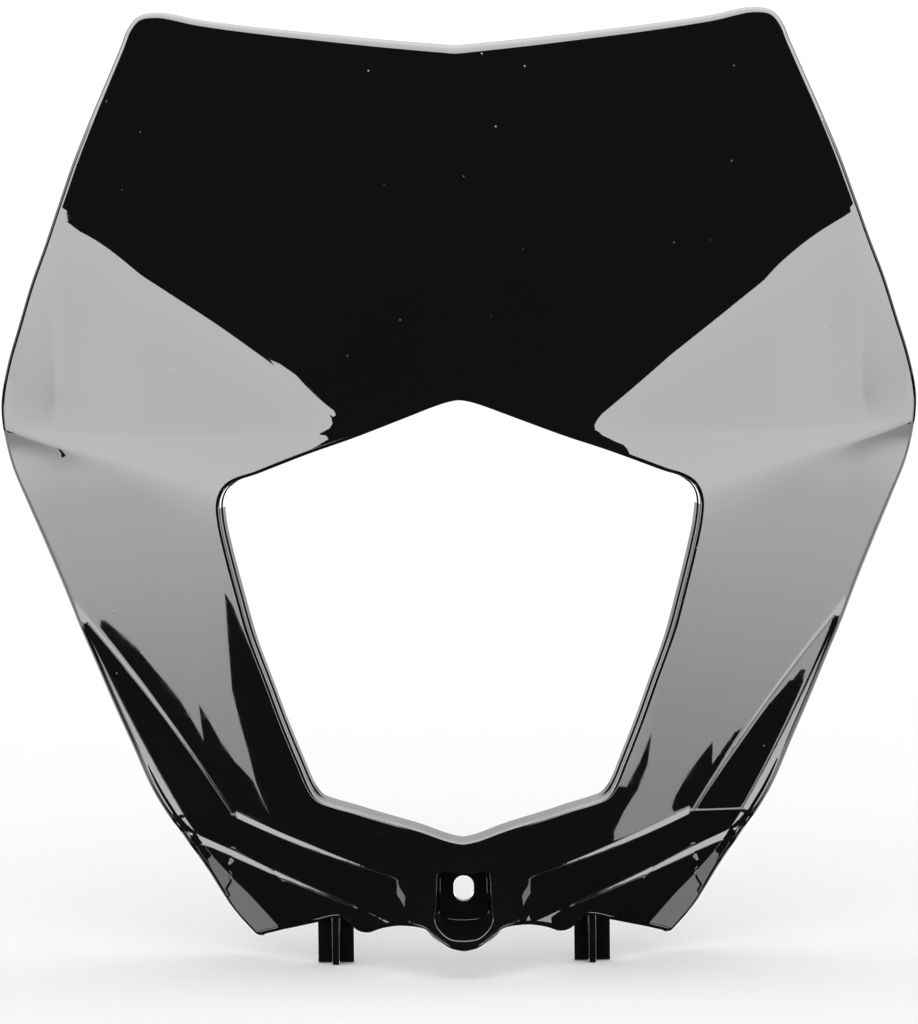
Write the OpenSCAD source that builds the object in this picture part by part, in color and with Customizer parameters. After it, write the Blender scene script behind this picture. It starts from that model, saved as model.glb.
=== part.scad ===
// Headlight cowl: a one-piece moulded shell with a number-plate area above a
// five-cornered lens opening, swept-back wings, a stepped chin with a slotted
// adjuster pocket, two cross-ribbed lower lugs, lamp ears and strap hooks.
// Millimetres, +Z up, the front faces -Y. The origin is the centre of the
// adjuster slot, on the front face of the slotted wall.

/* [Shell] */
// Wall thickness of the shell
wall = 2.6; // [2:0.1:3.2]
// How far the number-plate area leans back for each millimetre of height
lean = 0.36; // [0.3:0.01:0.42]
// How far the wings sweep back for each millimetre of width
sweep = 0.6; // [0.5:0.01:0.68]
// Half-width of the rounded nose along the lower part of the cowl
nose_r = 18; // [14:0.5:24]
// Depth of the nose line at the top of the lens opening
nose_y = 2; // [0:0.5:4]
// Height and depth of the bevel along the top edge
top_bevel = 3; // [2:0.1:3.4]
// Height and depth of the bevel along the other outer edges
side_bevel = 1; // [0.6:0.1:1.4]

/* [Folds] */
// Backward bend below the soft wing crease
wing_fold = 0.42; // [0.36:0.01:0.48]
// Backward bend outside the cheek crease
cheek_fold = 0.3; // [0.2:0.01:0.4]
// Backward bend below the upper chin crease
chin_fold = 0.45; // [0.3:0.01:0.5]
// Forward bend below the lower chin crease
skirt_fold = 0.26; // [0.16:0.01:0.36]
// Forward slope of the raised lips along the creases
lip = 0.13; // [0.06:0.01:0.2]
// Forward bend of the narrow strip along the cheek's outer edge
strip_fold = 0.47; // [0.4:0.01:0.54]
// Forward bend of the wedge at each lower corner
wedge_fold = 0.4; // [0.3:0.01:0.46]

/* [Lens opening] */
// Depth of the return flange round the lens opening
flange_d = 9; // [6:0.5:12]
// Inward draft of the flange at its back edge
flange_draft = 1.2; // [0.6:0.1:1.6]

/* [Lower lugs] */
// Distance of each lug from the middle
lug_x = 39; // [37:0.5:41]
// Width of a lug, and depth of its rib
lug_w = 11; // [10:0.2:12]
// Thickness of the lug's plate and rib
lug_t = 2.2; // [1.8:0.1:2.8]
// Height of the lug tips below the origin
lug_drop = 26; // [24:0.5:29]

/* [Adjuster pocket] */
// Inner width of the pocket
pocket_w = 15; // [14:0.2:15.6]
// Width of the slot
slot_w = 6; // [5:0.1:6.6]
// Height of the slot
slot_h = 7.6; // [7:0.1:9]
// Thickness of the slotted wall
slot_t = 2.4; // [2:0.1:3]

/* [Lamp ears] */
// Distance from the middle to the inner face of each ear
ear_x = 77; // [75:0.5:79]
// Thickness of the ear at its bore
ear_t = 6; // [4:0.5:7]
// Radius of the bore for the lamp's pivot pin
ear_bore_r = 3.1; // [2.5:0.1:4]
// Radius of the boss round the bore
ear_boss_r = 8; // [7:0.5:9]
// Height of the bore above the origin
ear_z = 60; // [54:1:64]

/* [Strap hooks] */
// Distance of each hook from the middle
hook_x = 62; // [58:0.5:66]
// Width of a hook
hook_w = 12; // [10:0.5:14]
// Thickness of a hook
hook_t = 3; // [2.5:0.1:3.5]

/* [Hidden] */
shell_colour = [0.035, 0.035, 0.038];
// Depth of the ear bores, behind the trailing edges of the wings
ear_y = 68;

// Crease lines on the +X side: one end (x, z), the other end (x, z), bow at the
// middle, and the width of the raised lip at each end
wing_line = [[75.5, 118.5], [141, 134], 0, 0, 0];
cheek_line = [[70.5, 19], [115.5, 75.5], -1.3, 0.45, 1.1];
chin_line = [[19, 3.7], [70.5, 19], 1.2, 0.3, 1.9];
chin_end_line = [[70.5, 18.4], [86, 16.6], 0, 0.4, 0.5];
skirt_line = [[22, -10.8], [83, 9.6], 0, 0.3, 3];
strip_line = [[86, 16.5], [116.5, 76], 1.3, 0, 0];
wedge_line = [[56, -16.5], [81, 8.5], 0, 0, 0];

// Key stations round the +X half of the cowl, from the notch at the top to the
// tongue at the bottom: outline x, z; middle line x, z; lens opening x, z
STATIONS = [
    [0, 252, 0, 196, 0, 146.5],
    [22, 254, 14, 196, 7.5, 144.5],
    [41, 256, 26, 196, 13.5, 142.5],
    [59, 258, 38, 196, 19, 140],
    [77.5, 260.5, 50, 195, 25, 137.5],
    [91, 263, 60, 194, 31.5, 135],
    [97.5, 262, 66, 191, 36, 133],
    [101, 258, 70, 188, 40.5, 131.5],
    [103, 253, 74, 184, 45, 130],
    [108, 241.5, 79, 178, 49, 128.5],
    [113.5, 229, 84, 172, 53, 127],
    [118.5, 217, 89, 166, 57, 125],
    [123, 204.5, 93, 160, 61, 123.5],
    [127.5, 192, 97, 154, 64, 122.5],
    [132, 180, 101, 148, 66.5, 121.5],
    [136, 167, 104, 142, 68.5, 120],
    [140.5, 154.5, 107, 136, 70.5, 118],
    [142.8, 143, 109, 130, 71.5, 115.5],
    [142.5, 134.5, 110, 124, 72, 112.5],
    [140, 123, 111, 117, 71.5, 108.5],
    [135, 111, 111, 108, 69.8, 101],
    [129.5, 98.5, 111, 98, 68, 93.5],
    [124, 86, 110, 87, 65.8, 85.5],
    [119, 74, 109, 73, 62, 72],
    [113.5, 61.5, 103, 60, 57.5, 60],
    [108, 49, 95, 50, 53, 48],
    [102, 36.5, 87.5, 40.5, 48, 36],
    [96.5, 24, 79, 30, 45, 29.5],
    [88, 12, 70.5, 19, 43, 26.5],
    [80, 0, 65, 17.5, 41, 26],
    [72, -12, 59, 15.7, 39, 25.5],
    [63.5, -20.5, 53, 14, 36, 25],
    [53.5, -17, 46, 12, 32.5, 24],
    [44, -13.5, 39, 10, 28, 23],
    [36.5, -11.5, 34, 8.5, 26, 22.5],
    [33, -14.5, 28, 6.8, 22, 21.7],
    [30, -15.5, 24, 5.5, 19, 21],
    [24, -13, 21, 4.5, 16, 20.5],
    [19, -11.5, 17, 3.5, 12.5, 19.5],
    [12, -11.5, 12, 2.5, 9, 18.7],
    [9, -13.5, 9, 2, 6.5, 18],
    [4.5, -17, 4.5, 1.5, 3.5, 17],
    [0, -18, 0, 1, 0, 16]
];

// Smooth ramp: 0 well below zero, the value itself well above it
function ramp(d, r) = 0.5 * (d + sqrt(d * d + r * r));
// Smooth step from 0 at a to 1 at b
function ease(a, b, v) = let (t = min(1, max(0, (v - a) / (b - a)))) t * t * (3 - 2 * t);
// Place of (x, z) along a crease: 0 at one end, 1 at the other
function along(x, z, l) =
    let (d = l[1] - l[0]) ([x, z] - l[0]) * d / (d * d);
// Distance of (x, z) from a crease, positive on its lower or outer side
function beyond(x, z, l) =
    let (d = l[1] - l[0], s = min(1.1, max(-0.1, along(x, z, l))))
    ((x - l[0][0]) * d[1] - (z - l[0][1]) * d[0]) / norm(d) - 4 * l[2] * s * (1 - s);
// Width of a crease's lip beside (x, z)
function lip_width(x, z, l) = l[3] + (l[4] - l[3]) * ease(0, 1, along(x, z, l));
// A narrow lip that slopes forward by a, then a side that bends back by b
function fold(d, w, a, b) = (a + b) * ramp(d - w / 2, 1) - a * ramp(d + w / 2, 1);

// Depth of the front surface
function depth(x0, z) =
    let (x = abs(x0),
         w = nose_r + ramp(z - 133, 6),
         fade = ease(12, 34, x),
         cheek_d = beyond(x, z, cheek_line),
         cheek_w = lip_width(x, z, cheek_line),
         chin_a = beyond(x, z, chin_line),
         chin_b = beyond(x, z, chin_end_line),
         chin_w = lip_width(x, z, chin_a < chin_b ? chin_line : chin_end_line),
         skirt_d = beyond(x, z, skirt_line),
         skirt_w = lip_width(x, z, skirt_line),
         turn = chin_fold + lip + 0.22 * ease(-0.6, 2.4, cheek_d),
         low = ramp(skirt_d, 0.4),
         t = (skirt_line[1] - skirt_line[0]) / norm(skirt_line[1] - skirt_line[0]),
         strip_d = min(beyond(x - t[1] * low, z + t[0] * low, strip_line), cheek_d - cheek_w / 2))
    nose_y + lean * (z - 146)
    + sweep * (sqrt(x * x + w * w) - w)
    + wing_fold * ramp(beyond(x, z, wing_line), 3)
    + 0.07 * ease(122, 142, x) * (ramp(z - 118, 6) - ramp(z - 150, 10))
    + fold(cheek_d, cheek_w, lip, cheek_fold)
    + fade * fold(min(chin_a, chin_b), chin_w, lip, chin_fold)
    + fade * fold(skirt_d, skirt_w, turn, -skirt_fold)
    - strip_fold * ramp(strip_d, 1)
    - wedge_fold * ramp(beyond(x, z, wedge_line), 1);

// Front-facing unit normal of the surface
function facing(x, z) =
    let (h = 0.5,
         fx = (depth(x + h, z) - depth(x - h, z)) / (2 * h),
         fz = (depth(x, z + h) - depth(x, z - h)) / (2 * h),
         n = sqrt(fx * fx + fz * fz + 1))
    [fx / n, -1 / n, fz / n];

function front(p) = [p[0], depth(p[0], p[1]), p[1]];
function back(p, t) = front(p) - t * facing(p[0], p[1]);
function toward(a, b, d) = a + (b - a) * d / norm(b - a);
function mix(a, b, k) = a + (b - a) * k;

last = len(STATIONS) - 1;
stations = concat(STATIONS, [for (i = [last - 1:-1:1]) let (s = STATIONS[i]) [-s[0], s[1], -s[2], s[3], -s[4], s[5]]]);
around = len(stations);
// A smooth in-between station after each key station
loop = [for (i = [0:around - 1])
    let (a = stations[(i + around - 1) % around], b = stations[i],
         c = stations[(i + 1) % around], d = stations[(i + 2) % around])
    each [b, (9 * (b + c) - a - d) / 16]];
columns = len(loop);
inner_rows = 4;
outer_rows = 5;

// One closed section of the shell at a station: across the front from the
// opening to the outline, over the bevelled edge, back along the inside and
// round the return flange
function section(s) =
    let (e = [s[0], s[1]], m = [s[2], s[3]],
         o = toward([s[4], s[5]], [0, 80], -flange_draft * (1 - ease(112, 121, s[5]))),
         bevel = mix(side_bevel, top_bevel, ease(246, 252, s[1])),
         ei = toward(e, m, bevel),
         oo = toward(o, m, wall),
         inward = toward(o, [0, 80], flange_draft),
         fi = [inward[0], depth(o[0], o[1]) + flange_d, inward[1]],
         fo_xy = toward(inward, m, wall),
         fo = [fo_xy[0], depth(o[0], o[1]) + flange_d, fo_xy[1]],
         edge = front(ei) + [e[0] - ei[0], bevel, e[1] - ei[1]])
    concat(
        [for (k = [0:inner_rows - 1]) front(mix(o, m, k / inner_rows))],
        [for (k = [0:outer_rows]) front(mix(m, ei, k / outer_rows))],
        [edge],
        [edge + [0, wall, 0]],
        [for (k = [outer_rows:-1:0]) back(mix(m, ei, k / outer_rows), k == outer_rows ? wall + bevel * 0.3 : wall)],
        [for (k = [inner_rows - 1:-1:1]) back(mix(o, m, k / inner_rows), wall)],
        [back(oo, wall)],
        [fo, fi]);

module shell() {
    rings = [for (s = loop) section(s)];
    n = len(rings[0]);
    polyhedron(
        points = [for (r = rings) each r],
        faces = [for (c = [0:columns - 1], k = [0:n - 1])
            let (c2 = (c + 1) % columns, k2 = (k + 1) % n,
                 a = c * n + k, b = c * n + k2, d = c2 * n + k, e = c2 * n + k2)
            each [[a, b, d], [b, e, d]]],
        convexity = 8);
}

// Outline of the pocket with its rounded bottom corners, grown by g
module pocket_outline(g) {
    w = pocket_w / 2 + g;
    r = 6 + g;
    union() {
        translate([-w, -8.5]) square([2 * w, 14.5 + g]);
        translate([-w + r, -8.5 - r]) square([2 * (w - r), r + 1]);
        for (i = [-1, 1]) translate([i * (w - r), -8.5]) circle(r = r, $fn = 48);
    }
}

// Extrudes a profile drawn in x, z from y0 to y1
module along_y(y0, y1) {
    translate([0, y1, 0]) rotate([90, 0, 0]) linear_extrude(height = y1 - y0) children();
}

// Slot with round ends, standing upright
module slot_outline() {
    union() {
        for (i = [-1, 1]) translate([0, i * (slot_h - slot_w) / 2]) circle(r = slot_w / 2, $fn = 48);
        translate([-slot_w / 2, -(slot_h - slot_w) / 2]) square([slot_w, slot_h - slot_w]);
    }
}

// Walls of the adjuster pocket and the flared plate behind the tongue
module pocket_walls() {
    along_y(-6.3, slot_t) pocket_outline(2);
    along_y(-1.5, slot_t) polygon([[-13.5, -9.5], [-9, -14.5], [-4, -17.5], [4, -17.5], [9, -14.5], [13.5, -9.5], [10, 4], [-10, 4]]);
}

// Depth of a point buried halfway into the wall at (x, z)
function rooted(x, z) = depth(x, z) + 0.7 * wall;

// Level plate from z0 to z1, rooted in the wall between x0 and x1 and
// reaching back to y1
module shelf(x0, x1, z0, z1, y1) {
    zm = (z0 + z1) / 2;
    translate([0, 0, z0]) linear_extrude(height = z1 - z0)
        polygon([[x0, rooted(x0, zm)], [x1, rooted(x1, zm)], [x1, y1], [x0, y1]]);
}

// Cross-ribbed lug that plugs into a grommet
module lug() {
    rib_y = 23;
    translate([lug_x - lug_w / 2, rib_y - lug_t / 2, -lug_drop]) cube([lug_w, lug_t, lug_drop + 5]);
    translate([lug_x - lug_t / 2, rib_y - lug_w / 2, -lug_drop]) cube([lug_t, lug_w, lug_drop + 5]);
    // web and shelf that carry the lug from the inside of the skirt
    shelf(lug_x - lug_t / 2, lug_x + lug_t / 2, -7, 3, rib_y);
    shelf(lug_x - lug_w / 2, lug_x + lug_w / 2, 2.6, 5, rib_y + lug_w / 2);
}

// Lamp ear: a plate standing back from the wing, with a round boss
module ear() {
    shelf(ear_x, ear_x + 3, ear_z - ear_boss_r, ear_z + ear_boss_r, ear_y);
    translate([ear_x, ear_y, ear_z]) rotate([0, 90, 0]) cylinder(r = ear_boss_r, h = ear_t, $fn = 64);
    translate([0, 0, ear_z - 1.25]) linear_extrude(height = 2.5)
        polygon([[ear_x + 1, rooted(ear_x + 1, ear_z)], [ear_x + 18, rooted(ear_x + 18, ear_z)], [ear_x + 4, ear_y - 8]]);
}

// Hook for a rubber strap: an arm to the back with an upright lip
module hook() {
    shelf(hook_x - hook_w / 2, hook_x + hook_w / 2, 206, 206 + hook_t, 60);
    translate([hook_x - hook_w / 2, 57, 206]) cube([hook_w, hook_t, 11]);
}

module headlight_cowl() color(shell_colour) {
    difference() {
        union() {
            shell();
            pocket_walls();
            for (i = [0, 1]) mirror([i, 0, 0]) {
                lug();
                ear();
                hook();
            }
        }
        // pocket, slot and ear bores
        along_y(-30, 0) pocket_outline(0);
        along_y(-1, slot_t + 1) slot_outline();
        for (i = [0, 1]) mirror([i, 0, 0])
            translate([ear_x - 1, ear_y, ear_z]) rotate([0, 90, 0]) cylinder(r = ear_bore_r, h = ear_t + 2, $fn = 48);
    }
}

headlight_cowl();
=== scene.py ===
import math
import bpy
import numpy as np
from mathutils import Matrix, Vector, geometry


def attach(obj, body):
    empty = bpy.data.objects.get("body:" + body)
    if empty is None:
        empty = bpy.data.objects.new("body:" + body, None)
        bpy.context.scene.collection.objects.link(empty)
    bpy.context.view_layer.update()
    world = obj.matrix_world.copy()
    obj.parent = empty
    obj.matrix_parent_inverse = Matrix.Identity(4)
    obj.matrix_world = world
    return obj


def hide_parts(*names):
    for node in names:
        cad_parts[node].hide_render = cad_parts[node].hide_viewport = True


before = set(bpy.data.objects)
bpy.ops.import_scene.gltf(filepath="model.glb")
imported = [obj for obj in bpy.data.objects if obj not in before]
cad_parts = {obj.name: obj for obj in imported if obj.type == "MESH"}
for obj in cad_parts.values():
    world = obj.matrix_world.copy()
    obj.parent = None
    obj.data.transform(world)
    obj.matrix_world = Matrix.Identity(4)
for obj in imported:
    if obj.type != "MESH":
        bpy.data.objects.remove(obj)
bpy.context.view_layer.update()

MM = 0.001

# ---------------------------------------------------------------- surface
# All shapes are worked out in millimetres: x right, z up, y to the back.
LEAN, SWEEP, NOSE_R, NOSE_Y, WALL = 0.36, 0.60, 18.0, 2.0, 2.6
WING_FOLD, CHEEK_FOLD, CHIN_FOLD, SKIRT_FOLD = 0.42, 0.30, 0.45, 0.26
STRIP_FOLD, WEDGE_FOLD, TAIL = 0.47, 0.40, 0.07
LIP = 0.13            # forward slope of the raised lip along the creases


def ramp(d, r):
    return 0.5 * (d + np.sqrt(d * d + r * r))


def ease(a, b, v):
    t = np.clip((v - a) / (b - a), 0.0, 1.0)
    return t * t * (3 - 2 * t)


def mix(a, b, t):
    return a + (b - a) * t


class Crease:
    """A crease from p to q, bowed by `bow` at its middle. Its raised lip is w[0] mm wide at p and w[1] at q."""

    def __init__(self, p, q, bow=0.0, r=0.3, w=(0.0, 0.0)):
        self.p, self.q, self.bow, self.r, self.w = np.array(p, float), np.array(q, float), bow, r, w
        d = self.q - self.p
        self.len = math.hypot(*d)
        self.t = d / self.len
        self.n = np.array([self.t[1], -self.t[0]])      # lower or outer side

    def along(self, x, z):
        return ((x - self.p[0]) * self.t[0] + (z - self.p[1]) * self.t[1]) / self.len

    def beyond(self, x, z):
        s = np.clip(self.along(x, z), -0.1, 1.1)
        d = (x - self.p[0]) * self.n[0] + (z - self.p[1]) * self.n[1]
        return d - self.bow * 4 * s * (1 - s)

    def width(self, x, z):
        return mix(self.w[0], self.w[1], ease(0, 1, self.along(x, z)))

    def fold(self, x, z, amount, lip=LIP):
        """Flat, then a narrow lip that slopes forward, then the folded side."""
        d = self.beyond(x, z)
        w = self.width(x, z)
        return -lip * ramp(d + w / 2, self.r) + (amount + lip) * ramp(d - w / 2, self.r)

    def point(self, s, off=0.0):
        base = self.p + self.t * self.len * s
        return base + self.n * (self.bow * 4 * s * (1 - s) + off)


wing_c = Crease((75.5, 118.5), (141, 134), 0.0, 4.0)
cheek_c = Crease((70.5, 19), (115.5, 75.5), -1.3, 0.3, (0.45, 1.1))
chin_c = Crease((19, 3.7), (70.5, 19), 1.2, 0.3, (0.3, 1.9))
end_c = Crease((70.5, 18.4), (86, 16.6), 0.0, 0.08, (0.6, 0.6))
skirt_c = Crease((22, -10.8), (83, 9.6), 0.0, 0.3, (0.3, 2.5))
strip_c = Crease((86, 16.5), (116.5, 76), 1.25, 0.3)
wedge_c = Crease((56, -16.5), (81, 8.5), 0.0, 0.4)


def depth(x0, z, soft=0.0):
    x = np.abs(x0)
    w = NOSE_R + ramp(z - 133, 6)
    fade = ease(12, 34, x)
    if soft > 0:
        saved = [(c, c.r) for c in (wing_c, cheek_c, chin_c, end_c, skirt_c, strip_c, wedge_c)]
        for c, r in saved:
            c.r = r + soft
    y = NOSE_Y + LEAN * (z - 146) + SWEEP * (np.sqrt(x * x + w * w) - w)
    y = y + WING_FOLD * ramp(wing_c.beyond(x, z), mix(3.5, 0.9, ease(0, 0.8, wing_c.along(x, z))) + soft)
    y = y + TAIL * ease(122, 142, x) * (ramp(z - 118, 6) - ramp(z - 150, 10))
    y = y + 0.032 * (ramp(z - 118, 5) - ramp(z - 136, 6)) * ease(94, 117, x) * ease(144, 119, x) * ease(200, 150, z)
    y = y + cheek_c.fold(x, z, CHEEK_FOLD)
    chin_d = np.minimum(chin_c.beyond(x, z), end_c.beyond(x, z) + 0.0)
    wid = np.where(chin_c.beyond(x, z) < end_c.beyond(x, z), chin_c.width(x, z), end_c.width(x, z))
    y = y + fade * (-LIP * ramp(chin_d + wid / 2, chin_c.r) + (CHIN_FOLD + LIP) * ramp(chin_d - wid / 2, chin_c.r))
    d2 = skirt_c.beyond(x, z)
    w2 = skirt_c.width(x, z)
    turn = CHIN_FOLD + LIP + 0.22 * ease(-0.6, 2.4, cheek_c.beyond(x, z))
    y = y + fade * (-turn * ramp(d2 + w2 / 2, skirt_c.r) + (turn - SKIRT_FOLD) * ramp(d2 - w2 / 2, skirt_c.r))
    # the edge strip stays above the skirt crease
    low = ramp(d2, 0.4)
    xs, zs = x - skirt_c.n[0] * low, z - skirt_c.n[1] * low
    d3 = np.minimum(strip_c.beyond(xs, zs), cheek_c.beyond(x, z) - cheek_c.width(x, z) / 2)
    y = y - STRIP_FOLD * ramp(d3, strip_c.r) - WEDGE_FOLD * ramp(wedge_c.beyond(x, z), wedge_c.r)
    if soft > 0:
        for c, r in saved:
            c.r = r
    return y


def facing(x, z, soft=0.0, h=0.02):
    fx = (depth(x + h, z, soft) - depth(x - h, z, soft)) / (2 * h)
    fz = (depth(x, z + h, soft) - depth(x, z - h, soft)) / (2 * h)
    n = np.stack([fx, -np.ones_like(fx), fz], -1)
    return n / np.linalg.norm(n, axis=-1, keepdims=True)


def inner_depth(x, z):
    n = facing(x, z, 3.0, 0.6)
    return depth(x, z, 3.0) + WALL / -n[..., 1]


def inner_facing(x, z, h=0.4):
    fx = (inner_depth(x + h, z) - inner_depth(x - h, z)) / (2 * h)
    fz = (inner_depth(x, z + h) - inner_depth(x, z - h)) / (2 * h)
    n = np.stack([-fx, np.ones_like(fx), -fz], -1)
    return n / np.linalg.norm(n, axis=-1, keepdims=True)


# ---------------------------------------------------------------- outlines
# Half outlines on the +X side, from the middle at the top to the middle at the bottom.
OUTLINE = [(0, 252), (22, 254), (41, 256), (59, 258), (77.5, 260.5), (91, 263), (97.5, 262), (101, 258), (103, 253),
           (108, 241.5), (113.5, 229), (118.5, 217), (123, 204.5), (127.5, 192), (132.2, 180), (136.5, 167), (140.5, 154.5),
           (142.8, 143), (142.5, 134.5), (140, 123), (135, 111), (129.5, 98.5), (124, 86), (119, 74), (113.5, 61.5),
           (108.1, 49), (102.4, 36.5), (96.6, 24), (92.3, 17), (88, 11.3), (79.8, 0), (71.8, -12), (63.5, -20.5)]
OUTLINE_B = [(63.5, -20.5), (53.5, -17), (44, -13.5), (36.5, -11.5), (33, -14.5), (30, -15.5), (24, -13), (19, -11.5),
             (12, -11.5), (9, -13.5), (4.5, -17), (0, -18)]
OPENING = [(0, 146.5), (3.5, 145.8), (7.5, 144.5), (19, 140), (31.5, 135), (45, 130), (61, 123.5), (66.5, 121.3), (70, 118.5),
           (71.6, 114.5), (71.3, 108.5), (69.8, 101), (65.8, 85.5), (62, 72), (57.5, 60), (53, 48), (48, 36),
           (45.2, 29.6), (43, 26.6), (39, 25.3), (32.5, 24), (26, 22.5), (12.5, 19.5), (4, 16.8), (0, 16)]


def spline(pts, step=0.25):
    """Centripetal Catmull-Rom through the points, sampled finely."""
    p = np.array(pts, float)
    p = np.vstack([2 * p[0] - p[1], p, 2 * p[-1] - p[-2]])
    out = []
    for i in range(1, len(p) - 2):
        p0, p1, p2, p3 = p[i - 1], p[i], p[i + 1], p[i + 2]
        k = max(2, int(np.linalg.norm(p2 - p1) / step))
        t0 = 0.0
        t1 = t0 + np.linalg.norm(p1 - p0) ** 0.5
        t2 = t1 + np.linalg.norm(p2 - p1) ** 0.5
        t3 = t2 + np.linalg.norm(p3 - p2) ** 0.5
        t = np.linspace(t1, t2, k, endpoint=False)[:, None]
        a1 = (t1 - t) / (t1 - t0) * p0 + (t - t0) / (t1 - t0) * p1
        a2 = (t2 - t) / (t2 - t1) * p1 + (t - t1) / (t2 - t1) * p2
        a3 = (t3 - t) / (t3 - t2) * p2 + (t - t2) / (t3 - t2) * p3
        b1 = (t2 - t) / (t2 - t0) * a1 + (t - t0) / (t2 - t0) * a2
        b2 = (t3 - t) / (t3 - t1) * a2 + (t - t1) / (t3 - t1) * a3
        out.append((t2 - t) / (t2 - t1) * b1 + (t - t1) / (t2 - t1) * b2)
    out.append(p[-2:-1])
    return np.vstack(out)


def close_half(half):
    """Joins a half curve with its mirror image into one closed loop."""
    m = half[1:-1][::-1] * [-1, 1]
    return np.vstack([half, m])


def resample(loop, step):
    """Even spacing round a closed loop, starting at its first point."""
    c = np.vstack([loop, loop[:1]])
    s = np.concatenate([[0], np.cumsum(np.linalg.norm(np.diff(c, axis=0), axis=1))])
    n = 2 * int(round(s[-1] / step / 2))
    t = np.linspace(0, s[-1], n, endpoint=False)
    return np.stack([np.interp(t, s, c[:, 0]), np.interp(t, s, c[:, 1])], 1)


def smooth_loop(p, sigma_pts):
    """Gaussian smoothing along a closed loop."""
    k = int(4 * sigma_pts) + 1
    w = np.exp(-0.5 * (np.arange(-k, k + 1) / sigma_pts) ** 2)
    w /= w.sum()
    out = np.zeros_like(p)
    for i, j in enumerate(range(-k, k + 1)):
        out += w[i] * np.roll(p, -j, axis=0)
    return out


def loop_frame(p):
    """Outward 2D normals of a closed loop that runs clockwise seen from the front with z up."""
    t = np.roll(p, -1, 0) - np.roll(p, 1, 0)
    t /= np.linalg.norm(t, axis=1, keepdims=True)
    return t, np.stack([-t[:, 1], t[:, 0]], 1)


def symmetric(p):
    """Makes a loop, whose first point is on the middle, exactly symmetric."""
    m = np.vstack([p[:1], p[1:][::-1]]) * [-1, 1]
    q = 0.5 * (p + m)
    return q


def make_loop(half, step=0.8, sigma=0.9):
    fine = resample(close_half(half), 0.2)
    fine = smooth_loop(fine, sigma / 0.2)
    return symmetric(resample(fine, step))


outline = make_loop(np.vstack([spline(OUTLINE)[:-1], spline(OUTLINE_B)]), 0.8, 0.8)
opening = make_loop(spline(OPENING), 0.8, 0.8)

# Mouth of the adjuster pocket
MOUTH = [(0, 6), (4, 6), (7.0, 6), (7.7, 5.4), (7.9, 4), (8.1, -1), (8.4, -6), (8.6, -8.4), (8.0, -10.4), (6.4, -12.4), (4.2, -14), (2, -14.4), (0, -14.5)]
mouth = make_loop(spline(MOUTH, 0.1), 0.5, 0.3)


# ---------------------------------------------------------------- mesh builder
class Builder:
    def __init__(self):
        self.v, self.f, self.n = [], [], []
        self.count = 0

    def patch(self, verts, faces, normals):
        """Adds a patch: its vertices, faces by index and one normal per vertex."""
        verts = np.asarray(verts, float)
        self.v.append(verts)
        self.n.append(np.asarray(normals, float))
        self.f.extend([tuple(i + self.count for i in f) for f in faces])
        self.count += len(verts)

    def strip(self, rings, normals, closed=True, flip=False):
        """Joins rings of equal length into quads. Each ring may repeat its position with a new normal for a sharp edge."""
        k = len(rings[0])
        verts = np.vstack(rings)
        norms = np.vstack(normals)
        faces = []
        for r in range(len(rings) - 1):
            if np.allclose(rings[r], rings[r + 1], atol=1e-7):
                continue
            m = k if closed else k - 1
            for c in range(m):
                d = (c + 1) % k
                q = (r * k + c, r * k + d, (r + 1) * k + d, (r + 1) * k + c)
                faces.append(q[::-1] if flip else q)
        self.patch(verts, faces, norms)

    def build(self, name):
        v = np.vstack(self.v)
        n = np.vstack(self.n)
        key = np.round(v / 2e-4).astype(np.int64)
        _, first, back = np.unique(key, axis=0, return_index=True, return_inverse=True)
        back = back.reshape(-1)
        order = np.argsort(first)
        rank = np.empty_like(order)
        rank[order] = np.arange(len(order))
        vid = rank[back]
        verts = v[first[order]]
        faces, src = [], []
        for f in self.f:
            g, s = [], []
            for i in f:
                j = int(vid[i])
                if j not in g:
                    g.append(j)
                    s.append(i)
            if len(g) >= 3:
                faces.append(g)
                src.extend(s)
        me = bpy.data.meshes.new(name)
        me.from_pydata([tuple(p) for p in verts * MM], [], faces)
        me.update()
        ob = bpy.data.objects.new(name, me)
        bpy.context.scene.collection.objects.link(ob)
        for p in me.polygons:
            p.use_smooth = True
        if len(me.loops) == len(src):
            nn = n[src]
            nn /= np.linalg.norm(nn, axis=1, keepdims=True)
            me.normals_split_custom_set([tuple(q) for q in nn])
        return ob


def inside(pts, loop):
    """Which points lie inside a closed loop."""
    x, z = pts[:, 0], pts[:, 1]
    a, b = loop, np.roll(loop, -1, 0)
    res = np.zeros(len(pts), bool)
    for (x1, z1), (x2, z2) in zip(a, b):
        if z1 == z2:
            continue
        c = (z1 > z) != (z2 > z)
        if c.any():
            xi = x1 + (z - z1) * (x2 - x1) / (z2 - z1)
            res ^= c & (x < xi)
    return res


def thin(points, keep_from, gap):
    """Drops points closer than their gap to an earlier one, using a hash grid."""
    cell = gap
    grid = {}
    out = []
    for i, (x, z) in enumerate(points):
        cx, cz = int(math.floor(x / cell)), int(math.floor(z / cell))
        ok = True
        if i >= keep_from:
            for a in (-1, 0, 1):
                for b in (-1, 0, 1):
                    for (u, w) in grid.get((cx + a, cz + b), ()):
                        if (u - x) ** 2 + (w - z) ** 2 < gap * gap:
                            ok = False
                            break
                    if not ok:
                        break
                if not ok:
                    break
        if ok:
            grid.setdefault((cx, cz), []).append((x, z))
            out.append((x, z))
    return out


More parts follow.
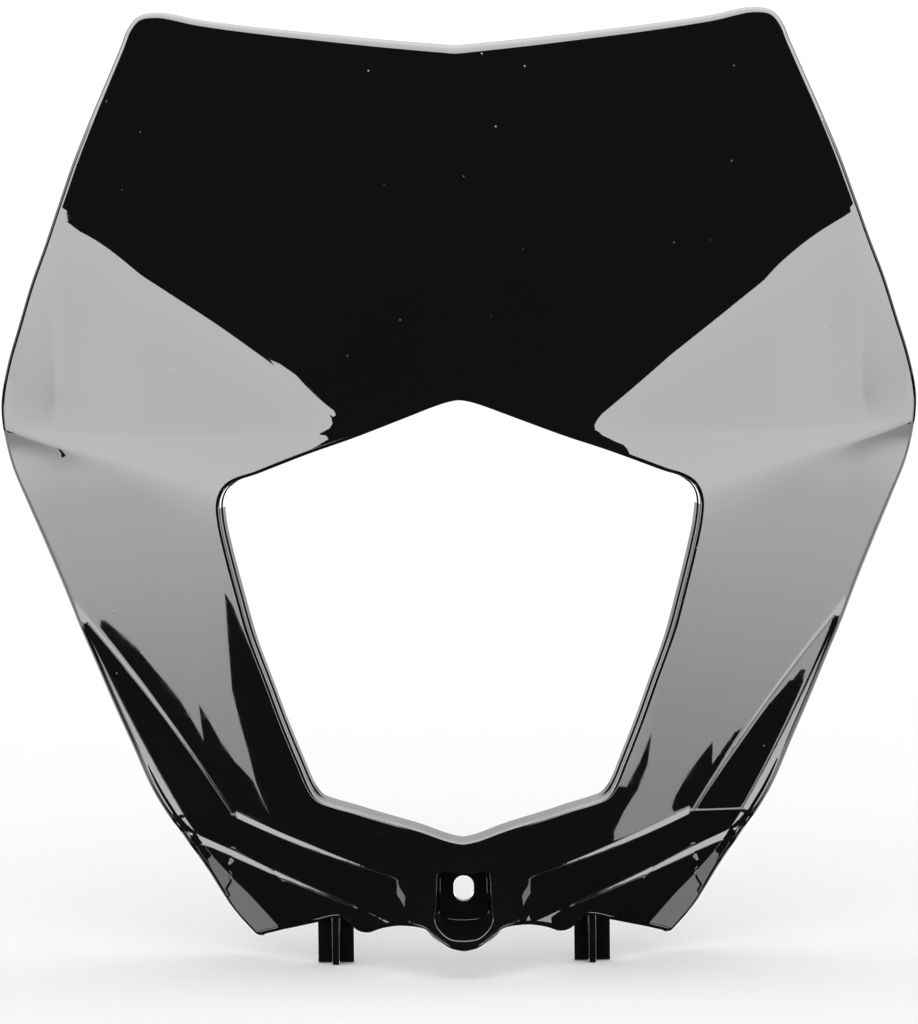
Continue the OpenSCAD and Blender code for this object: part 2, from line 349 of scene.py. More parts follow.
def triangulate(outer, holes, extra, step):
    """Triangles of the +X half of the area between an outer loop and holes, with extra points on the way. Returns 2D points and faces."""
    pts, edges = [], []

    def half_chain(loop):
        k = len(loop) // 2
        h = loop[:k + 1].copy()
        h[0, 0] = h[-1, 0] = 0.0
        return h

    chains = [half_chain(outer)] + [half_chain(h) for h in holes]
    ends = []
    for c in chains:
        base = len(pts)
        pts.extend(map(tuple, c))
        edges.extend((base + i, base + i + 1) for i in range(len(c) - 1))
        ends.append((c[0, 1], base))
        ends.append((c[-1, 1], base + len(c) - 1))
    ends.sort()
    for i in range(0, len(ends), 2):
        (z0, i0), (z1, i1) = ends[i], ends[i + 1]
        k = max(1, int((z1 - z0) / step))
        prev = i0
        for j in range(1, k):
            pts.append((0.0, z0 + (z1 - z0) * j / k))
            edges.append((prev, len(pts) - 1))
            prev = len(pts) - 1
        edges.append((prev, i1))
    fixed = len(pts)
    hexes = []
    zs = np.arange(-30, 270, step * 0.866)
    for r, z in enumerate(zs):
        for x in np.arange(step * 0.5 * (r % 2) + step * 0.5, 150, step):
            hexes.append((x, z))
    cand = np.array(list(extra) + hexes)
    cand = cand[cand[:, 0] > 0.35]
    n_extra_ok = inside(cand, outer)
    for h in holes:
        n_extra_ok &= ~inside(cand, h)
    is_extra = np.zeros(len(cand), bool)
    ex = np.array(list(extra)) if len(extra) else np.zeros((0, 2))
    is_extra[:int((ex[:, 0] > 0.35).sum()) if len(ex) else 0] = True
    e_pts = cand[n_extra_ok & is_extra]
    h_pts = cand[n_extra_ok & ~is_extra]
    bound = np.array(pts[:fixed])
    # keep clear of the boundary
    e_all = thin(list(map(tuple, bound)) + list(map(tuple, e_pts)), fixed, 0.22)
    n_e = len(e_all)
    allp = thin(e_all + list(map(tuple, h_pts)), n_e, step * 0.62)
    vs = [Vector(p) for p in allp]
    res = geometry.delaunay_2d_cdt(vs, edges, [], 0, 1e-6, True)
    out_v = np.array([tuple(p) for p in res[0]])
    tris = np.array([t for t in res[2] if len(t) == 3])
    cen = out_v[tris].mean(1)
    keep = inside(cen, outer) & (cen[:, 0] > 0)
    for h in holes:
        keep &= ~inside(cen, h)
    return out_v, tris[keep]


def sheet(b, outer, holes, extra, step, lift, normal, back=False):
    """A whole symmetric sheet over the area, lifted to depth."""
    v, t = triangulate(outer, holes, extra, step)
    a, c, d = v[t[:, 0]], v[t[:, 1]], v[t[:, 2]]
    area = (c[:, 0] - a[:, 0]) * (d[:, 1] - a[:, 1]) - (c[:, 1] - a[:, 1]) * (d[:, 0] - a[:, 0])
    t = np.where((area > 0)[:, None], t, t[:, ::-1])
    good = np.abs(area) > 1e-7
    t = t[good]
    for sgn in (1, -1):
        x, z = v[:, 0] * sgn, v[:, 1]
        p = np.stack([x, lift(x, z), z], 1)
        n = normal(x, z)
        # counter-clockwise in (x, z) faces -Y
        tt = t if sgn == 1 else t[:, ::-1]
        if back:
            tt = tt[:, ::-1]
        b.patch(p, [tuple(q) for q in tt], n)


def sweep_normals(n0, n1, k):
    """k+1 unit vectors turning from n0 to n1, arrays of vectors."""
    dot = np.clip((n0 * n1).sum(1, keepdims=True), -1, 1)
    om = np.arccos(dot)
    s = np.sin(om)
    return [(np.sin((1 - i / k) * om) * n0 + np.sin(i / k * om) * n1) / s for i in range(k + 1)]


def to3(o2):
    return np.stack([o2[:, 0], np.zeros(len(o2)), o2[:, 1]], 1)


b = Builder()

# --- outer edge: fillet, edge face, small back fillet, lip, inside
t2, o2 = loop_frame(outline)
z_o = outline[:, 1]
top = ease(215, 262, z_o) * ease(0.0, 0.7, o2[:, 1] + 0.35)
R_side = np.interp(z_o, [-15, -4, 20, 38, 56, 72, 84, 101, 116, 130], [2.0, 3.0, 3.2, 4.0, 3.6, 3.6, 4.2, 4.5, 3.4, 3.0])
R_side = mix(R_side, 1.6, ease(0.55, 0.85, -o2[:, 1]))
R_side = smooth_loop(np.stack([R_side, R_side], 1), 3.0)[:, 0]
R_edge = mix(R_side, 2.3 + 1.8 * (1 - np.clip(np.abs(outline[:, 0]) / 92, 0, 1)), top)
DROP = 3.2 * top


def unit(v):
    return v / np.linalg.norm(v, axis=1, keepdims=True)


n_e = unit(smooth_loop(facing(outline[:, 0] + 2.2 * o2[:, 0], outline[:, 1] + 2.2 * o2[:, 1], 0.6), 5.0))
off = R_edge * (1 - (n_e * to3(o2)).sum(1))
edge_in = outline - o2 * off[:, None]
edge_in = symmetric(edge_in)
P = np.stack([edge_in[:, 0], depth(edge_in[:, 0], edge_in[:, 1]), edge_in[:, 1]], 1)
T3 = smooth_loop(np.roll(P, -1, 0) - np.roll(P, 1, 0), 1.5)
T3 /= np.linalg.norm(T3, axis=1, keepdims=True)
O3 = to3(o2)
N = n_e - T3 * (n_e * T3).sum(1, keepdims=True)
N = unit(N)
cw = (N * O3).sum(1, keepdims=True)
sw = np.sqrt(1 - cw * cw)
B = (O3 - N * cw) / sw                 # outward, square to the face
Re = R_edge[:, None]
swell = Re * (1 - cw)                  # how far the round reaches beyond its start
rings, norms = [], []
for nn in sweep_normals(N, O3, 10):
    rings.append(P - N * Re + nn * Re)
    norms.append(nn)
near = facing(edge_in[:, 0], edge_in[:, 1])
norms[0] = unit(mix(N, near, ease(0.980, 0.994, (N * near).sum(1))[:, None]))
Rb = 0.4
T = np.maximum(WALL + 0.45, swell + Rb + 0.15) + DROP[:, None]
c_b = P + B * (swell - Rb + (T - Rb) * cw) / sw - N * (T - Rb)
for nn in sweep_normals(O3, -N, 4):
    rings.append(c_b + nn * Rb)
    norms.append(nn)


def inner_side(d):
    """A point on the inside of the edge wall, d behind the face."""
    return P + B * (swell - WALL + d * cw) / sw - N * d


q = inner_side(T) + B * 0.2
rings.append(q); norms.append(-N)
rings.append(q); norms.append(-O3)
q = inner_side(T - 0.2)
rings.append(q); norms.append(-O3)
j = inner_side(WALL)
edge_back2 = symmetric(np.stack([j[:, 0], j[:, 2]], 1))
jj = np.stack([edge_back2[:, 0], inner_depth(edge_back2[:, 0], edge_back2[:, 1]), edge_back2[:, 1]], 1)
rings.append(jj); norms.append(-O3)
b.strip(rings, norms)

# --- lens opening: fillet, stepped return flange, outside of the flange
t2, g2 = loop_frame(opening)          # g2 points away from the opening's middle
inw = -g2
side = np.abs(inw[:, 0])
R_o = 0.85
front_off = np.where(inw[:, 1] > 0.3, 0.85, 1.25 * ease(0.45, 0.9, side))
front_off = smooth_loop(np.stack([front_off, front_off], 1), 4.0)[:, 0]
rim = opening + g2 * front_off[:, None]
n_r = facing(rim[:, 0], rim[:, 1])
off = R_o * (1 - (n_r * to3(inw)).sum(1))
rim_in = symmetric(rim + g2 * off[:, None])
P = np.stack([rim_in[:, 0], depth(rim_in[:, 0], rim_in[:, 1]), rim_in[:, 1]], 1)
N = facing(rim_in[:, 0], rim_in[:, 1])
I3 = to3(inw)
rings, norms = [], []
for nn in sweep_normals(N, I3, 8):
    rings.append(P - N * R_o + nn * R_o)
    norms.append(nn)
w0 = rings[-1]
Y = np.array([[0.0, 1.0, 0.0]])
draft = np.maximum(front_off, 0.25)[:, None] / 9.0
yd = w0[:, 1:2]
flange_end = depth(rim_in[:, 0], rim_in[:, 1])[:, None] + 9.0
length = flange_end - yd
nw = I3 * 1.0 - Y * draft * 1.2
nw /= np.linalg.norm(nw, axis=1, keepdims=True)
w1 = w0 + Y * length * 0.42 + I3 * draft * 3.4
led = 0.35
w2 = w1 + I3 * led * ease(0.3, 0.8, side)[:, None] + Y * 0.12
w3 = w2 + Y * (length * 0.58 - 0.5) + I3 * draft * 4.0
rings += [w0, w1, w1, w2, w2, w3]
norms += [nw, nw, -Y + 0 * I3, -Y + 0 * I3, nw, nw]
ce = w3 - I3 * 0.4
for nn in sweep_normals(I3, Y + 0 * I3, 3):
    rings.append(ce + nn * 0.4)
    norms.append(nn)
e1 = ce + Y * 0.4 - I3 * (2.2 - 0.8)
for nn in sweep_normals(Y + 0 * I3, -I3, 3):
    rings.append(e1 - Y * 0.4 + nn * 0.4)
    norms.append(nn)
fo = rim - inw * 2.6
fo = symmetric(fo)
ff = np.stack([fo[:, 0], inner_depth(fo[:, 0], fo[:, 1]), fo[:, 1]], 1)
rings.append(ff); norms.append(-I3)
b.strip(rings, norms, flip=True)

# --- adjuster pocket: fillet at its mouth, walls, floor, slotted wall
t2, g2 = loop_frame(mouth)
inw = -g2
R_m = 0.45
n_m = facing(mouth[:, 0], mouth[:, 1])
off = R_m * (1 - (n_m * to3(inw)).sum(1))
mouth_in = symmetric(mouth + g2 * off[:, None])
P = np.stack([mouth_in[:, 0], depth(mouth_in[:, 0], mouth_in[:, 1]), mouth_in[:, 1]], 1)
N = facing(mouth_in[:, 0], mouth_in[:, 1])
I3 = to3(inw)
rings, norms = [], []
for nn in sweep_normals(N, I3, 5):
    rings.append(P - N * R_m + nn * R_m)
    norms.append(nn)
w0 = rings[-1]
# the walls draw in towards the slotted wall at y = 0, and the floor slopes up
back2 = mouth.copy()
back2[:, 0] *= 0.87
back2[:, 1] = np.where(back2[:, 1] < -6, -6 + (back2[:, 1] + 6) * 0.42, back2[:, 1] - 0.3 * (back2[:, 1] > 4))
bk = np.stack([back2[:, 0], np.full(len(back2), -0.5), back2[:, 1]], 1)
wn = I3 - Y * 0.12
wn /= np.linalg.norm(wn, axis=1, keepdims=True)
low = ease(-6, -9, mouth[:, 1])[:, None]
wn = wn * (1 - low) + (wn - Y * 0.55) * low
wn /= np.linalg.norm(wn, axis=1, keepdims=True)
rings += [w0, mix(w0, bk, 0.5), bk]
norms += [wn, wn, wn]
b.strip(rings, norms, flip=True)

# slotted wall: front ring with a small cove, plane, slot, plane behind
SW, SH, ST = 3.0, 3.8, 2.4
ang = np.arange(len(mouth)) / len(mouth) * 2 * np.pi


def slot_loop(grow):
    """The slot's outline, one point for each point of the mouth loop, from the top clockwise."""
    k = len(mouth)
    r = SW + grow
    h = SH - SW
    out = []
    for i in range(k):
        a = 2 * math.pi * i / k
        x, z = math.sin(a), math.cos(a)
        out.append((x * r, z * r + (h if z > 1e-9 else -h if z < -1e-9 else 0.0)))
    return np.array(out)


def at_y(p2, y):
    return np.stack([p2[:, 0], np.full(len(p2), y), p2[:, 1]], 1)


def const(n, v):
    return np.tile(np.array(v, float), (n, 1))


k = len(mouth)
cove = back2 * 0.965 + np.array([0.0, -0.05])
s_out = slot_loop(0.35)
s_in = slot_loop(0.0)
rings = [bk, at_y(cove, 0.0), at_y(cove, 0.0), at_y(mix(cove, s_out, 0.5), 0.0), at_y(s_out, 0.0)]
norms = [-Y + 0.6 * I3, -Y + 0 * I3, const(k, (0, -1, 0)), const(k, (0, -1, 0)), const(k, (0, -1, 0))]
sn = to3(s_in - np.array([0, 0]) * 1.0)
sx = slot_loop(1.0) - slot_loop(0.0)
s_dir = to3(sx / np.linalg.norm(sx, axis=1, keepdims=True))
rings += [at_y(mix(s_out, s_in, 0.7), 0.1), at_y(s_in, 0.35), at_y(s_in, ST)]
norms += [-Y * 0.7 - s_dir * 0.7, -s_dir, -s_dir]
b.strip(rings, norms, flip=True)
s_back = slot_loop(0.0)
# outside of the pocket behind the shell
tray = make_loop(spline([(0, 8), (5, 8), (8.6, 8), (9.6, 7), (9.9, 4), (10, -1), (10.2, -6), (9.9, -9), (8, -12.2), (5, -14.6), (2.4, -15.4), (0, -15.6)], 0.1), 0.5, 0.4)
kk = len(tray)
idx = (np.arange(kk) * k / kk)


def loop_at(loop, n):
    """Resamples a closed loop to n points from its first point."""
    c = np.vstack([loop, loop[:1]])
    s = np.concatenate([[0], np.cumsum(np.linalg.norm(np.diff(c, axis=0), axis=1))])
    t = np.linspace(0, s[-1], n, endpoint=False)
    return np.stack([np.interp(t, s, c[:, 0]), np.interp(t, s, c[:, 1])], 1)


tray = symmetric(loop_at(tray, k))
t2, tg = loop_frame(tray)
TG = to3(tg)
plate = symmetric(loop_at(make_loop(spline([(0, 7), (4, 7), (8.5, 6.6), (10, 4), (11, -2), (13.2, -9.2), (12.2, -11.5), (9, -15), (4.5, -17.8), (0, -18.4)], 0.1), 0.5, 0.8), k))
PG = to3(loop_frame(plate)[1])
rings = [at_y(s_back, ST), at_y(mix(s_back, plate, 0.5), ST), at_y(plate * 0.985, ST), at_y(plate, ST - 0.3), at_y(plate, 0.0), at_y(plate * 0.985, -0.3)]
norms = [const(k, (0, 1, 0))] * 3 + [PG, PG, -Y * 0.6 + PG * 0.6]
rings += [at_y(plate * 0.985, -0.3), at_y(tray, -0.3), at_y(tray, -0.3)]
norms += [const(k, (0, -1, 0)), const(k, (0, -1, 0)), TG]
tr = np.stack([tray[:, 0], inner_depth(tray[:, 0], tray[:, 1]), tray[:, 1]], 1)
tr[:, 1] = np.minimum(tr[:, 1], -0.4)
rings.append(tr); norms.append(TG)
b.strip(rings, norms, flip=True)

# --- front sheet
extra = []
CLOSE = (-1.0, -0.5, -0.22, 0.0, 0.22, 0.5, 1.0)
for cr, s0, s1 in ((cheek_c, -0.01, 1.12), (chin_c, 0.0, 1.01), (end_c, -0.02, 1.02), (skirt_c, -0.02, 1.02),
                   (strip_c, -0.17, 1.1), (wedge_c, -0.02, 1.02)):
    n_along = int(cr.len * (s1 - s0) / 0.8)
    for side_sign in ((-0.5, 0.5) if max(cr.w) > 0 else (0.0,)):
        for o in CLOSE:
            for i in range(n_along + 1):
                q = s0 + (s1 - s0) * i / n_along
                extra.append(tuple(cr.point(q, side_sign * mix(cr.w[0], cr.w[1], float(ease(0, 1, q))) + o)))
for o in (0, 1.2, -1.2, 2.4, -2.4, 4, -4, 6, -6):
    for i in range(45):
        extra.append(tuple(wing_c.point(-0.05 + 1.07 * i / 44, o)))
sheet(b, edge_in, [rim_in, mouth_in], extra, 1.7, depth, facing)

# --- inner sheet
tray2 = np.stack([tr[:, 0], tr[:, 2]], 1)
sheet(b, edge_back2, [fo, tray2], [], 2.6, inner_depth, inner_facing, back=True)

cowl = b.build("cowl_shell")
for part in (cowl,):
    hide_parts("headlight_cowl")
    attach(part, "root")

# ---------------------------------------------------------------- lugs, ears, hooks
import bmesh


def rooted(x, z):
    return float(depth(np.array([x]), np.array([z]))[0]) + 1.6


def solid_from_outline(name, pts, axis, a0, a1, bevel=0.35, segs=3):
    """A bevelled solid: an outline drawn in the plane across `axis`, from a0 to a1 along it."""
    me = bpy.data.meshes.new(name)
    bm = bmesh.new()
    vs = []
    for (u, w) in pts:
        p = {"z": (u, w, a0), "y": (u, a0, w), "x": (a0, u, w)}[axis]
        vs.append(bm.verts.new(Vector(p) * MM))
    f = bm.faces.new(vs)
    r = bmesh.ops.extrude_face_region(bm, geom=[f])
    d = {"z": (0, 0, a1 - a0), "y": (0, a1 - a0, 0), "x": (a1 - a0, 0, 0)}[axis]
    bmesh.ops.translate(bm, verts=[e for e in r["geom"] if isinstance(e, bmesh.types.BMVert)], vec=Vector(d) * MM)
    bmesh.ops.recalc_face_normals(bm, faces=bm.faces)
    if bevel > 0:
        bmesh.ops.bevel(bm, geom=list(bm.edges), offset=bevel * MM, segments=segs, profile=0.5, affect="EDGES", clamp_overlap=True)
    for f in bm.faces:
        f.smooth = True
    bm.to_mesh(me)
    bm.free()
    ob = bpy.data.objects.new(name, me)
    bpy.context.scene.collection.objects.link(ob)
    return ob


def circle_pts(cx, cy, r, n=64):
    return [(cx + r * math.cos(2 * math.pi * i / n), cy + r * math.sin(2 * math.pi * i / n)) for i in range(n)]


extras = []
LX, LW, LT, LY, LD = 39.0, 11.0, 2.2, 23.0, 26.0
for sx, side_name in ((1, "right"), (-1, "left")):
    def mx(pts):
        return [(u * sx, w) for u, w in pts]
    h, t = LW / 2, LT / 2
    cross = [(LX - h, LY - t), (LX - t, LY - t), (LX - t, LY - h), (LX + t, LY - h), (LX + t, LY - t), (LX + h, LY - t),
             (LX + h, LY + t), (LX + t, LY + t), (LX + t, LY + h), (LX - t, LY + h), (LX - t, LY + t), (LX - h, LY + t)]
    extras.append(solid_from_outline("lug_" + side_name, mx(cross), "z", -LD, 5.0, 0.3))
    extras.append(solid_from_outline("lug_web_" + side_name, mx([(LX - t, rooted(LX - t, -2)), (LX + t, rooted(LX + t, -2)), (LX + t, LY), (LX - t, LY)]), "z", -7, 3, 0.2))
    extras.append(solid_from_outline("lug_shelf_" + side_name, mx([(LX - h, rooted(LX - h, 3.8)), (LX + h, rooted(LX + h, 3.8)), (LX + h, LY + h), (LX - h, LY + h)]), "z", 2.6, 5.0, 0.3))
    EX, BY, BZ = 77.0, 68.0, 60.0
    extras.append(solid_from_outline("ear_web_" + side_name, mx([(EX + 1, rooted(EX + 1, BZ)), (EX + 18, rooted(EX + 18, BZ)), (EX + 4, BY - 8)]), "z", BZ - 1.25, BZ + 1.25, 0.2))
    HX, HW, HT = 62.0, 12.0, 3.0
    extras.append(solid_from_outline("hook_arm_" + side_name, mx([(HX - 6, rooted(HX - 6, 207.5)), (HX + 6, rooted(HX + 6, 207.5)), (HX + 6, 60), (HX - 6, 60)]), "z", 206, 209, 0.5))
    extras.append(solid_from_outline("hook_lip_" + side_name, mx([(HX - 6, 57), (HX + 6, 57), (HX + 6, 60), (HX - 6, 60)]), "z", 206, 217, 0.8))
    # ear plate and boss with its bore
    me = bpy.data.meshes.new("ear_" + side_name)
    bm = bmesh.new()
    nseg = 64
    prof = [(3.1, 0.3), (3.4, 0.0), (7.6, 0.0), (8.0, 0.4), (8.0, 5.6), (7.6, 6.0), (3.4, 6.0), (3.1, 5.7)]
    ringv = []
    for (r, x) in prof:
        ringv.append([bm.verts.new(Vector(((EX + x) * sx, BY + r * math.cos(2 * math.pi * i / nseg), BZ + r * math.sin(2 * math.pi * i / nseg))) * MM) for i in range(nseg)])
    for i in range(len(prof)):
        a, c = ringv[i], ringv[(i + 1) % len(prof)]
        for q in range(nseg):
            bm.faces.new((a[q], a[(q + 1) % nseg], c[(q + 1) % nseg], c[q]))
    bmesh.ops.recalc_face_normals(bm, faces=bm.faces)
    for f in bm.faces:
        f.smooth = True
    bm.to_mesh(me)
    bm.free()
    ob = bpy.data.objects.new("ear_boss_" + side_name, me)
    bpy.context.scene.collection.objects.link(ob)
    extras.append(ob)
    # the plate stops short of the bore, and curves round the boss
    arc = [(BY + 6.5 * math.cos(a), BZ + 6.5 * math.sin(a)) for a in np.linspace(math.radians(90 + 20), math.radians(270 - 20), 20)]
    y0 = rooted(EX + 2.5, BZ)
    pl = [(y0, BZ + 8), (BY - 2.0, BZ + 8)] + arc + [(BY - 2.0, BZ - 8), (y0, BZ - 8)]
    extras.append(solid_from_outline("ear_plate_" + side_name, pl, "x", EX * sx, (EX + 3) * sx, 0.3))

for ob in extras:
    ob.data.set_sharp_from_angle(angle=math.radians(40))
    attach(ob, "root")


# ---------------------------------------------------------------- materials
def gloss_black(name, seed):
    """Moulded gloss black plastic: a deep black body under a hard, almost perfect skin, with slow waves from the mould,
    faint rubbing marks and a few specks of dust."""
    m = bpy.data.materials.new(name)
    m.use_nodes = True
    nt = m.node_tree
    nt.nodes.clear()

    def node(kind, **sockets):
        n = nt.nodes.new(kind)
        for key, val in sockets.items():
            n.inputs[key.replace("_", " ")].default_value = val
        return n

    def link(a, a_out, c, c_in):
        nt.links.new(a.outputs[a_out], c.inputs[c_in])

    out = node("ShaderNodeOutputMaterial")
    bs = node("ShaderNodeBsdfPrincipled", IOR=1.5)
    link(bs, 0, out, 0)
    co = node("ShaderNodeTexCoord")

    # dust: sparse small round specks, kept where a slow noise is high
    cells = node("ShaderNodeTexVoronoi", Scale=150.0, Randomness=1.0)
    link(co, "Object", cells, "Vector")
    dot = node("ShaderNodeValToRGB")
    dot.color_ramp.elements[0].position = 0.02
    dot.color_ramp.elements[0].color = (1, 1, 1, 1)
    dot.color_ramp.elements[1].position = 0.06
    dot.color_ramp.elements[1].color = (0, 0, 0, 1)
    link(cells, "Distance", dot, "Fac")
    few = node("ShaderNodeValToRGB")
    few.color_ramp.elements[0].position = 0.62
    few.color_ramp.elements[0].color = (0, 0, 0, 1)
    few.color_ramp.elements[1].position = 0.68
    few.color_ramp.elements[1].color = (1, 1, 1, 1)
    link(cells, "Color", few, "Fac")
    speck = nt.nodes.new("ShaderNodeMix")
    speck.data_type = "RGBA"
    speck.blend_type = "MULTIPLY"
    speck.inputs[0].default_value = 1.0
    link(dot, "Color", speck, 6)
    link(few, "Color", speck, 7)

    # colour: deep black, a shade warmer or cooler from place to place, with grey specks
    slow = node("ShaderNodeTexNoise", Scale=9.0 + seed, Detail=3.0)
    link(co, "Object", slow, "Vector")
    tone = node("ShaderNodeValToRGB")
    tone.color_ramp.elements[0].position = 0.3
    tone.color_ramp.elements[0].color = (0.0052, 0.0050, 0.0056, 1)
    tone.color_ramp.elements[1].position = 0.7
    tone.color_ramp.elements[1].color = (0.0068, 0.0062, 0.0064, 1)
    link(slow, "Fac", tone, "Fac")
    col = nt.nodes.new("ShaderNodeMix")
    col.data_type = "RGBA"
    link(speck, 2, col, 0)
    link(tone, "Color", col, 6)
    col.inputs[7].default_value = (0.16, 0.15, 0.14, 1)
    link(col, 2, bs, "Base Color")

    # roughness: almost a mirror, a little duller in faint rubbed streaks
    mp = node("ShaderNodeMapping")
    mp.inputs["Scale"].default_value = (1.0, 1.0, 14.0)
    mp.inputs["Rotation"].default_value = (0.0, 0.5, 0.2)
    link(co, "Object", mp, "Vector")
    rub = node("ShaderNodeTexNoise", Scale=26.0, Detail=6.0, Roughness=0.6)
    link(mp, "Vector", rub, "Vector")
    rr = node("ShaderNodeMapRange")
    rr.inputs["From Min"].default_value = 0.35
    rr.inputs["From Max"].default_value = 0.85
    rr.inputs["To Min"].default_value = 0.004
    rr.inputs["To Max"].default_value = 0.020
    link(rub, "Fac", rr, "Value")
    link(rr, "Result", bs, "Roughness")

    # bump: slow moulding waves and the dust specks
    wave = node("ShaderNodeTexNoise", Scale=14.0, Detail=1.0)
    link(co, "Object", wave, "Vector")
    b1 = node("ShaderNodeBump", Strength=0.02, Distance=0.00003)
    link(wave, "Fac", b1, "Height")
    b2 = node("ShaderNodeBump", Strength=0.25, Distance=0.00006)
    link(speck, 2, b2, "Height")
    link(b1, "Normal", b2, "Normal")
    link(b2, "Normal", bs, "Normal")
    return m


mat = gloss_black("moulded_gloss_black", 0.0)
mat_ribs = gloss_black("moulded_gloss_black_ribs", 3.0)
for ob in [cowl] + extras:
    ob.data.materials.clear()
    ob.data.materials.append(mat if ob is cowl else mat_ribs)

# ---------------------------------------------------------------- stage
def plane(name, w, h, loc, rot):
    me = bpy.data.meshes.new(name)
    me.from_pydata([(-w / 2, -h / 2, 0), (w / 2, -h / 2, 0), (w / 2, h / 2, 0), (-w / 2, h / 2, 0)], [], [(0, 1, 2, 3)])
    ob = bpy.data.objects.new(name, me)
    ob.location = loc
    ob.rotation_euler = rot
    bpy.context.scene.collection.objects.link(ob)
    return ob


floor = plane("floor", 14, 14, (0, 3.0, -0.0262), (0, 0, 0))
floor.visible_glossy = False
floor.visible_shadow = False
fm = bpy.data.materials.new("floor_white")
fm.use_nodes = True
fb = fm.node_tree.nodes["Principled BSDF"]
fb.inputs["Base Color"].default_value = (0.90, 0.90, 0.90, 1)
fb.inputs["Roughness"].default_value = 0.9
fb.inputs["Specular IOR Level"].default_value = 0.0
floor.data.materials.append(fm)

world = bpy.data.worlds.new("world")
bpy.context.scene.world = world
world.use_nodes = True
bg = world.node_tree.nodes["Background"]
bg.inputs[0].default_value = (1, 1, 1, 1)
bg.inputs[1].default_value = 1.12
world.cycles_visibility.glossy = False

MIDDLE = Vector((0.0, 0.03, 0.11))
FAR = 12.0


def direction(az, el):
    """Unit vector from the object: azimuth 0 is towards the camera, positive to the right."""
    a, e = math.radians(az), math.radians(el)
    return Vector((math.sin(a) * math.cos(e), -math.cos(a) * math.cos(e), math.sin(e)))


def light_mesh(name, verts, faces, values):
    """A glowing surface with its own brightness at each vertex. It lights reflections only."""
    me = bpy.data.meshes.new(name)
    me.from_pydata([tuple(v) for v in verts], [], faces)
    at = me.attributes.new("glow", "FLOAT", "POINT")
    at.data.foreach_set("value", np.array(values, np.float32))
    ob = bpy.data.objects.new(name, me)
    bpy.context.scene.collection.objects.link(ob)
    m = bpy.data.materials.new(name)
    m.use_nodes = True
    nt = m.node_tree
    nt.nodes.clear()
    out = nt.nodes.new("ShaderNodeOutputMaterial")
    em = nt.nodes.new("ShaderNodeEmission")
    an = nt.nodes.new("ShaderNodeAttribute")
    an.attribute_name = "glow"
    nt.links.new(an.outputs["Fac"], em.inputs["Strength"])
    nt.links.new(em.outputs[0], out.inputs[0])
    me.materials.append(m)
    ob.visible_camera = False
    ob.visible_diffuse = False
    ob.visible_shadow = False
    return ob


def softbox(name, sign, shape, glow, step=1.5):
    """A soft light at a distance whose outline is given by directions from the object, (azimuth, elevation)."""
    edge = np.array(shape, float)
    n = len(edge)
    gaz = np.arange(edge[:, 0].min(), edge[:, 0].max(), step)
    gel = np.arange(edge[:, 1].min(), edge[:, 1].max(), step)
    grid = np.array([(a, e) for a in gaz for e in gel])
    grid = grid[inside(grid, edge)] if len(grid) else grid.reshape(0, 2)
    pts = [Vector(p) for p in edge] + [Vector(p) for p in grid]
    res = geometry.delaunay_2d_cdt(pts, [(i, (i + 1) % n) for i in range(n)], [], 0, 1e-7, True)
    v = np.array([tuple(p) for p in res[0]])
    t = [f for f in res[2] if len(f) == 3]
    cen = v[np.array(t)].mean(1)
    keep = inside(cen, edge)
    faces = [tuple(f) for f, k2 in zip(t, keep) if k2]
    return light_mesh(name, [MIDDLE + direction(a * sign, e) * FAR for a, e in v], faces, [glow(a, e) for a, e in v])


def side_glow(az, el):
    """Brightest level with the object, fading towards the floor."""
    low = float(np.interp(el, [-13.3, -12.3, -11.5, -10.4, -9.6, -8.6, -6.0, 0.0, 6.0], [4.6, 5.0, 5.6, 6.2, 7.2, 8.6, 9.6, 10.4, 11.2]))
    high = float(np.interp(el, [-13.3, -12.2, -11.4, -8.0, 0.0, 6.0], [4.8, 5.4, 9.0, 10.4, 10.6, 11.2]))
    return mix(high, low, float(ease(68.6, 70.2, az)))


LEFT = [(53.0, 8.4), (52.62, 9.35), (53.1, 9.0), (53.6, 8.45), (53.81, 8.02), (54.23, 7.92), (54.86, 7.81), (55.61, 7.60), (56.35, 7.49), (56.85, 7.41),
        (57.32, 7.42), (57.5, 7.9), (57.05, 8.9), (57.3, 10.4), (58.6, 12.2), (60.0, 14.8), (61.6, 17.8), (63, 20), (66, 26), (84, 26), (84, -17), (74.4, -17), (74.4, -9.8), (73.8, -9.94), (73.3, -10.3), (73.0, -10.6),
        (72.6, -10.97), (72.2, -11.44), (72.14, -11.53), (72.2, -11.05), (71.98, -11.28), (71.74, -11.55), (71.41, -11.82),
        (70.93, -12.09), (70.68, -12.35), (70.44, -12.57), (70.65, -12.35), (70.84, -12.11), (71.04, -11.69), (71.23, -11.32), (71.40, -10.90),
        (71.44, -10.26), (71.45, -9.67), (71.29, -9.81), (71.10, -10.08), (70.85, -10.39), (69.2, -10.6), (68.6, -12.3), (53.0, -12.3)]
RIGHT = [(55.6, 5.8), (56.2, 6.7), (56.9, 7.5), (57.5, 7.8), (59.2, 10.2), (61, 13.8), (63, 20), (66, 26), (84, 26), (84, -17), (74.4, -17),
         (74.4, -11.0), (72.54, -11.43), (72.02, -11.91), (71.98, -11.60), (71.68, -11.82), (71.43, -12.01), (71.07, -12.33),
         (70.94, -12.51), (70.9, -13.3), (68.5, -13.3), (68.7, -12.9), (69.16, -12.62), (69.76, -12.31), (70.13, -11.97), (70.26, -11.56),
         (69.83, -11.95), (69.29, -12.29), (55.6, -12.29)]
softbox("softbox_left", -1, LEFT, side_glow)
softbox("softbox_right", 1, RIGHT, side_glow)
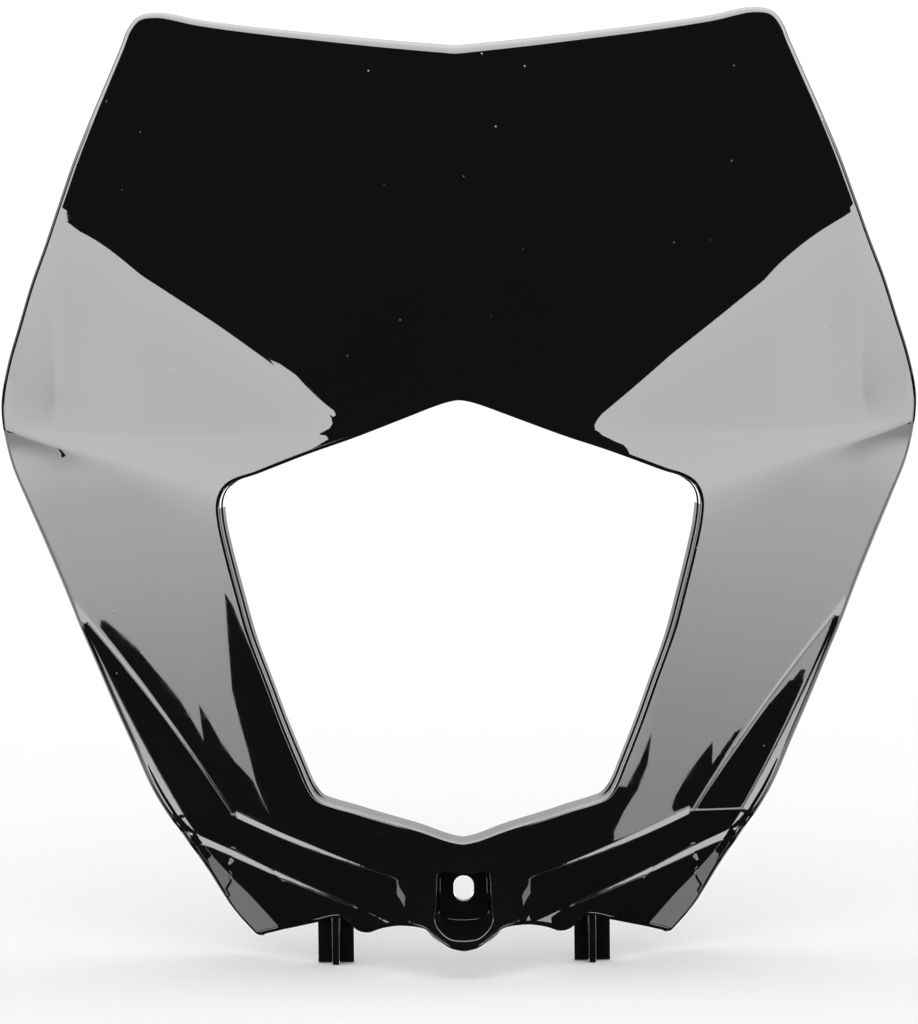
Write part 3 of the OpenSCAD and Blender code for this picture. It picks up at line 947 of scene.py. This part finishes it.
for sg, nm in ((-1, "left"), (1, "right")):
    softbox("low_glow_" + nm, sg, [(67.5, -19.2), (74.5, -19.2), (74.5, -23.2), (66, -24.2), (54, -25.6), (54, -23.4), (65.5, -23.4), (67.5, -22.5)], lambda a, e: 3.4, 1.5)
    softbox("corner_glow_" + nm, sg, [(52, -48), (80, -48), (80, -40.5), (52, -40.5)], lambda a, e: 9.0, 6.0)
    softbox("rim_glow_" + nm, sg, [(104, -12), (176, -1.5), (176, -33), (104, -33)], lambda a, e: 3.2, 6.0)

softbox("cheek_glow_right", 1, [(86, -20.65), (96, -20.65), (96, -4), (86, -4)], lambda a, e: 5.2, 4.0)
softbox("cheek_glow_left", -1, [(86, -18.3), (96, -18.3), (96, -4), (86, -4)], lambda a, e: 5.2, 4.0)

# a curved sheet of light from above the camera over to the back, seen in edges that face up
arc = np.linspace(42, 178, 69)


def over_glow(e):
    tilt = math.radians((e - 5) / 2)
    mirror = 0.04 + 0.96 * (1 - math.cos(tilt)) ** 5
    return 0.46 / mirror


av, af, ag = [], [], []
for i, e in enumerate(arc):
    for xx in (-30.0, 30.0):
        av.append(MIDDLE + Vector((xx, -FAR * math.cos(math.radians(e)), FAR * math.sin(math.radians(e)))))
        ag.append(over_glow(e))
    if i:
        af.append((2 * i - 2, 2 * i - 1, 2 * i + 1, 2 * i))
light_mesh("overhead", av, af, ag)

# the pale wall behind the object, seen only in edges that turn away from the camera
light_mesh("back_wall", [(-8, 12, -3), (8, 12, -3), (8, 12, 12), (-8, 12, 12)], [(0, 1, 2, 3)], [1.0] * 4)

# ---------------------------------------------------------------- camera
D, EL = 1.5, math.radians(5)
cam_data = bpy.data.cameras.new("camera")
cam = bpy.data.objects.new("camera", cam_data)
bpy.context.scene.collection.objects.link(cam)
cam_data.sensor_fit = "HORIZONTAL"
cam_data.sensor_width = 36
cam_data.lens = 36 * 1.5 / 0.2754
target = Vector((-0.00028, 0.010, 0.1124))
loc = target + Vector((0, -D * math.cos(EL), D * math.sin(EL)))
cam.location = loc
quat = (target - loc).to_track_quat("-Z", "Y")
from mathutils import Quaternion
roll = Quaternion((0, 0, 1), math.radians(-0.56))
cam.rotation_mode = "QUATERNION"
cam.rotation_quaternion = quat @ roll
bpy.context.scene.camera = cam
bpy.context.scene.view_settings.view_transform = "Standard"

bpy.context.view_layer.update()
